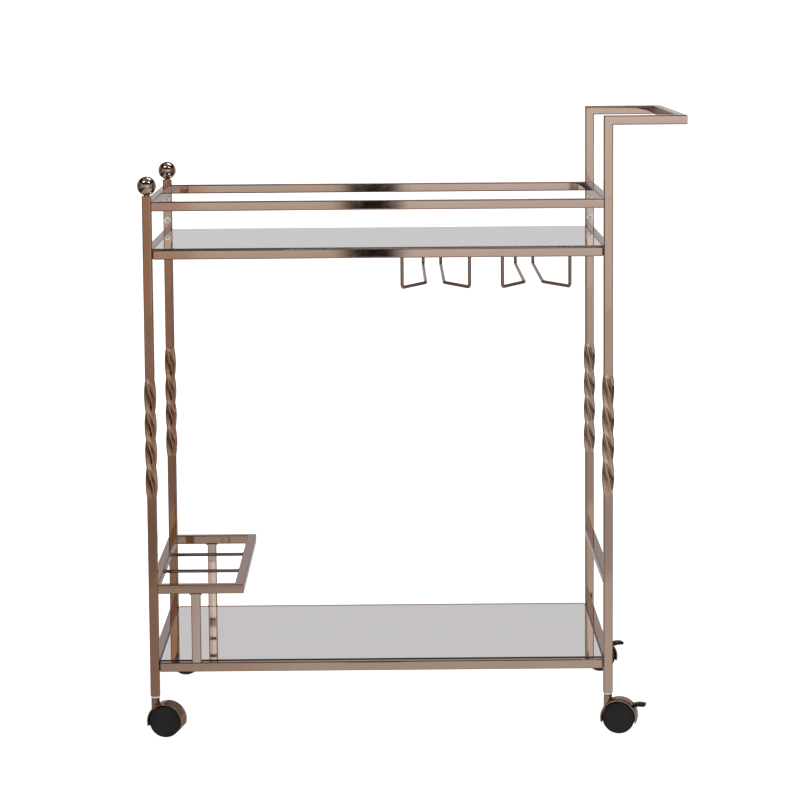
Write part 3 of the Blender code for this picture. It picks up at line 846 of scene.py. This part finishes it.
def make_caster(end, side, hood, steel, black, lever_black):
    """One caster. Front and back ones are mirrored, and the right ones have a brake."""
    name = f"{end}_{side}"
    post = middle(f"{name}_post")
    axis = Matrix.Translation((post.x, post.y, 0.0))
    swivel = axis @ Matrix.Rotation(CASTER_TURN if end == "back" else -CASTER_TURN, 4, "Z")
    hub = swivel @ Matrix.Translation((TRAIL, 0.0, WHEEL_RADIUS))
    fork = f"{name}_caster"
    sharp = {"angle": 35.0, "weighted": False}
    stem = moved(stem_data(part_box(f"{name}_post")[0].z), axis)
    piece(f"{name}_stem_collar", stem, steel, "frame", f"{name}_caster_stem", "zinc_steel", **sharp)
    node = f"{name}_caster_housing"
    housing = moved(housing_data(node, side == "right"), swivel)
    piece(f"{name}_hood", housing, hood, fork, node, "bronze_plate", **sharp)
    axle = moved(axle_data(), hub @ Matrix.Rotation(math.pi / 2, 4, "X"))
    piece(f"{name}_pin", axle, steel, fork, f"{name}_axle", "zinc_steel", **sharp)
    for which in ("outer", "inner"):
        quarter = math.pi / 2 if (which == "outer") == (end == "front") else -math.pi / 2
        wheel = moved(wheel_data(), hub @ Matrix.Rotation(quarter, 4, "X"))
        node = f"{name}_{which}_wheel"
        piece(f"{node}_tread", wheel, black, node, node, "black_plastic", **sharp)
    if side == "right":
        reach = (LEVER_PIVOT * math.cos(LEVER_ANGLE), 0.0, LEVER_PIVOT * math.sin(LEVER_ANGLE))
        lever = moved(lever_data(), hub @ Matrix.Translation(reach))
        node = f"{name}_brake_lever"
        piece(f"{node}_paddle", lever, lever_black, f"{name}_brake", node, "black_plastic",
              angle=50.0, weighted=False)


# ---------------------------------------------------------------- studio


def flat_corners(x0, x1, y0, y1, z):
    """A level rectangle's corners."""
    return [(x0, y0, z), (x1, y0, z), (x1, y1, z), (x0, y1, z)]


def wall_corners(start, end, high=ROOM_HIGH_Z):
    """The corners of a wall over the line from start to end."""
    return [(*start, ROOM_LOW_Z), (*end, ROOM_LOW_Z), (*end, high), (*start, high)]


def stage_plane(name, corners, material):
    mesh = bpy.data.meshes.new(name)
    mesh.from_pydata(corners, [], [(0, 1, 2, 3)])
    mesh.materials.append(material)
    obj = bpy.data.objects.new(name, mesh)
    bpy.context.scene.collection.objects.link(obj)
    return obj


def reflected_panel(name, corners, material):
    """A studio panel that only shows in the metal's reflections."""
    obj = stage_plane(name, corners, material)
    obj.visible_camera = False
    obj.visible_diffuse = False
    obj.visible_shadow = False
    obj.visible_transmission = False


def glow(name, colour, strength=1.0):
    """A panel's own light, the same all over."""
    material = bpy.data.materials.new(name)
    material.use_nodes = True
    nodes = material.node_tree.nodes
    nodes.clear()
    emission = nodes.new("ShaderNodeEmission")
    emission.inputs["Color"].default_value = (*colour, 1.0)
    emission.inputs["Strength"].default_value = strength
    output = nodes.new("ShaderNodeOutputMaterial")
    material.node_tree.links.new(emission.outputs["Emission"], output.inputs["Surface"])
    return material


def graded(name, colours, levels, axis):
    """A glow whose colour changes along X and whose strength changes along another axis."""
    material = glow(name, (1.0, 1.0, 1.0))
    nodes, links = material.node_tree.nodes, material.node_tree.links
    split = nodes.new("ShaderNodeSeparateXYZ")
    links.new(nodes.new("ShaderNodeTexCoord").outputs["Object"], split.inputs["Vector"])
    mix = nodes.new("ShaderNodeVectorMath")
    mix.operation = "MULTIPLY"
    for slot, (output, stops) in enumerate((("X", colours), (axis, levels))):
        first, last = stops[0][0], stops[-1][0]
        spread = nodes.new("ShaderNodeMapRange")
        spread.inputs["From Min"].default_value = first
        spread.inputs["From Max"].default_value = last
        links.new(split.outputs[output], spread.inputs["Value"])
        ramp = nodes.new("ShaderNodeValToRGB")
        elements = ramp.color_ramp.elements
        while len(elements) < len(stops):
            elements.new(0.5)
        for element, (place, shade) in zip(elements, stops):
            element.position = (place - first) / (last - first)
            element.color = opaque(shade)
        links.new(spread.outputs["Result"], ramp.inputs["Fac"])
        links.new(ramp.outputs["Color"], mix.inputs[slot])
    emission = next(node for node in nodes if node.type == "EMISSION")
    links.new(mix.outputs["Vector"], emission.inputs["Color"])
    return material


def make_floor():
    """A wide floor that gives its own light, as a light table does, and casts no reflection."""
    paint = Graph("pale_floor", (0.9, 0.9, 0.9))
    paint.drive("Base Color", paint.ramp(paint.noise(2.0), (0.25, 0.25, 0.25), (0.26, 0.26, 0.26)))
    paint.set("Roughness", 0.9)
    paint.set("Specular IOR Level", 0.0)
    paint.set("Emission Color", (1.0, 1.0, 1.0, 1.0))
    paint.set("Emission Strength", 0.93)
    reach = 400.0
    floor = stage_plane("floor", flat_corners(-reach, reach, -reach, reach, 0), paint.material)
    floor.location.z = -0.0002
    floor.visible_glossy = False


def make_lamp():
    sun = bpy.data.lights.new("overhead", "SUN")
    sun.energy = 1.6
    sun.angle = math.radians(100.0)
    lamp = bpy.data.objects.new("overhead", sun)
    lamp.rotation_euler = (math.radians(-12.0), math.radians(10.0), 0.0)
    lamp.visible_glossy = False
    bpy.context.scene.collection.objects.link(lamp)


def make_front():
    """What the fronts of the tubes reflect: a warm wall on the left, a dark gap, a pale wall."""
    colours = [(-4.0, (0.54, 0.42, 0.34)), (-0.77, (0.57, 0.44, 0.37)), (-0.74, (0.68, 0.64, 0.575)),
               (-0.23, (0.67, 0.62, 0.56)), (-0.175, (0.035, 0.03, 0.03)),
               (-0.10, (0.010, 0.008, 0.009)), (-0.02, (0.035, 0.03, 0.03)),
               (0.03, (0.735, 0.72, 0.72)), (4.0, (0.75, 0.72, 0.72))]
    levels = [(-1.0, 0.92), (0.15, 0.97), (0.40, 1.03), (0.75, 1.16), (1.5, 1.18), (3.0, 0.70)]
    corners = wall_corners((-ROOM_SIDE_X, ROOM_FRONT_Y), (ROOM_SIDE_X, ROOM_FRONT_Y))
    reflected_panel("room_front", corners, graded("room_front_light", colours, levels, "Z"))


def make_floor_card():
    """What the mirrors and the tops of the hoods reflect of the floor."""
    colours = [(-1.1, (0.43, 0.37, 0.33)), (-0.42, (0.43, 0.37, 0.33)), (-0.20, (0.56, 0.51, 0.46)),
               (0.30, (0.59, 0.57, 0.55)), (1.1, (0.59, 0.57, 0.55))]
    levels = [(-6.0, 1.0), (-2.30, 1.0), (-2.15, 0.76), (-1.42, 0.76), (-1.26, 1.0), (9.0, 0.95)]
    half = 1.1
    corners = flat_corners(-half, half, ROOM_FRONT_Y, ROOM_BACK_Y, -0.0001)
    reflected_panel("floor_seen", corners, graded("floor_seen_light", colours, levels, "Y"))


def make_room():
    """The side walls with a dim middle, the back wall, the ceiling and three softboxes."""
    bright = glow("room_side_light", (0.35, 0.285, 0.24))
    dim = glow("room_side_dim", (0.13, 0.10, 0.085))
    lengths = (("front", ROOM_FRONT_Y, -1.3, bright), ("middle", -1.3, 1.6, dim),
               ("rear", 1.6, ROOM_BACK_Y, bright))
    for name, x in (("left", -ROOM_SIDE_X), ("right", ROOM_SIDE_X)):
        for part, y0, y1, light in lengths:
            reflected_panel(f"room_{name}_{part}", wall_corners((x, y0), (x, y1)), light)
    corners = wall_corners((-ROOM_BACK_Y, ROOM_BACK_Y), (ROOM_BACK_Y, ROOM_BACK_Y), 4.0)
    reflected_panel("room_back", corners, glow("room_back_light", (0.62, 0.605, 0.605)))
    half, high = 3.4, 5.5
    corners = flat_corners(-half, half, -half, half, high)
    reflected_panel("room_ceiling", corners, glow("room_ceiling_light", (0.21, 0.205, 0.205)))
    softbox = glow("softbox_light", (1.0, 0.98, 0.96), 7.0)
    deep, high = 0.25, 3.3
    for name, x, y, wide in (("left", -1.7, -1.5, 0.7), ("right", 1.4, -1.9, 0.6), ("top", 0.5, 0.9, 0.8)):
        corners = flat_corners(x - wide, x + wide, y - deep, y + deep, high)
        reflected_panel(f"softbox_{name}", corners, softbox)


def make_world():
    """Even light from all round, white to the camera and dim where the metal reflects it."""
    world = bpy.data.worlds.new("studio")
    bpy.context.scene.world = world
    world.use_nodes = True
    nodes, links = world.node_tree.nodes, world.node_tree.links
    nodes.clear()
    path = nodes.new("ShaderNodeLightPath")
    shades = []
    for colour in ((0.97, 0.96, 1.0), (0.035, 0.030, 0.030), (1.1, 1.1, 1.1)):
        background = nodes.new("ShaderNodeBackground")
        background.inputs["Color"].default_value = (*colour, 1.0)
        shades.append(background.outputs["Background"])
    result = shades[0]
    for ray, shade in zip(("Is Glossy Ray", "Is Camera Ray"), shades[1:]):
        mix = nodes.new("ShaderNodeMixShader")
        links.new(path.outputs[ray], mix.inputs["Fac"])
        links.new(result, mix.inputs[1])
        links.new(shade, mix.inputs[2])
        result = mix.outputs["Shader"]
    output = nodes.new("ShaderNodeOutputWorld")
    links.new(result, output.inputs["Surface"])


def make_camera():
    data = bpy.data.cameras.new("camera")
    data.lens = CAMERA_LENS
    data.sensor_width = 36.0
    data.shift_y = CAMERA_SHIFT_Y
    data.clip_end = 1500.0
    camera = bpy.data.objects.new("camera", data)
    bpy.context.scene.collection.objects.link(camera)
    tilt = Matrix.Rotation(math.pi / 2 - CAMERA_PITCH, 4, "X")
    turn = Matrix.Rotation(CAMERA_YAW, 4, "Z") @ tilt @ Matrix.Rotation(CAMERA_ROLL, 4, "Z")
    camera.matrix_world = Matrix.Translation(CAMERA_PLACE) @ turn
    bpy.context.scene.camera = camera


# ---------------------------------------------------------------- the cart


def make_cart():
    light = plated("bronze_plate_light", (0.605, 0.458, 0.375), (0.635, 0.485, 0.405))
    # Painted reflection: a darker copy of the plating for the left posts.
    dark = plated("painted_reflection_dark", (0.46, 0.295, 0.200), (0.50, 0.325, 0.220))
    hood = plated("bronze_plate_hood", (0.36, 0.25, 0.19), (0.41, 0.29, 0.225), (0.03, 0.06))
    wire = plated("bronze_plate_wire", (0.36, 0.26, 0.21), (0.41, 0.30, 0.245), (0.05, 0.09))
    # Painted shade: a darker copy of the plating for the tubes' round corners.
    corner = plated("painted_corner_shade", (0.24, 0.17, 0.135), (0.28, 0.20, 0.16))
    leg_metal = plated("bronze_plate_leg", (0.80, 0.71, 0.66), (0.84, 0.75, 0.70))
    # Painted reflection: a paler copy of the plating for the rear posts above the upper shelf.
    pale = plated("painted_reflection_pale", (0.70, 0.60, 0.50), (0.74, 0.64, 0.54))
    steel = plain_steel("zinc_steel_bright", (0.82, 0.81, 0.84), 0.22, 0.6)
    bolt = plain_steel("bolt_nickel", (0.80, 0.74, 0.66), 0.38, 0.15)
    black = moulded("black_nylon", (0.0075, 0.0068, 0.0085), (0.0105, 0.0093, 0.0115), 0.42)
    lever_black = moulded("black_lever", (0.006, 0.006, 0.007), (0.010, 0.010, 0.011), 0.30)
    make_posts(light, dark, pale)
    make_rails(light)
    make_handle(light)
    make_bottle_rack(light, wire, leg_metal)
    make_stemware_racks(wire)
    # Paint shade on the tubes' round corners.
    for obj in [obj for obj in bpy.context.scene.objects if obj.name.endswith("_tube")]:
        paint_corner_shade(obj, corner)
    make_finials(light)
    make_bolts(bolt)
    make_panels(mirror_glass(), glass_arris(), mirror_backing())
    for side in ("left", "right"):
        for end in ("front", "back"):
            make_caster(end, side, hood, steel, black, lever_black)


def main():
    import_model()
    make_cart()
    make_floor()
    make_lamp()
    make_world()
    make_front()
    make_floor_card()
    make_room()
    make_camera()
    bpy.context.scene.view_settings.view_transform = "Standard"


main()
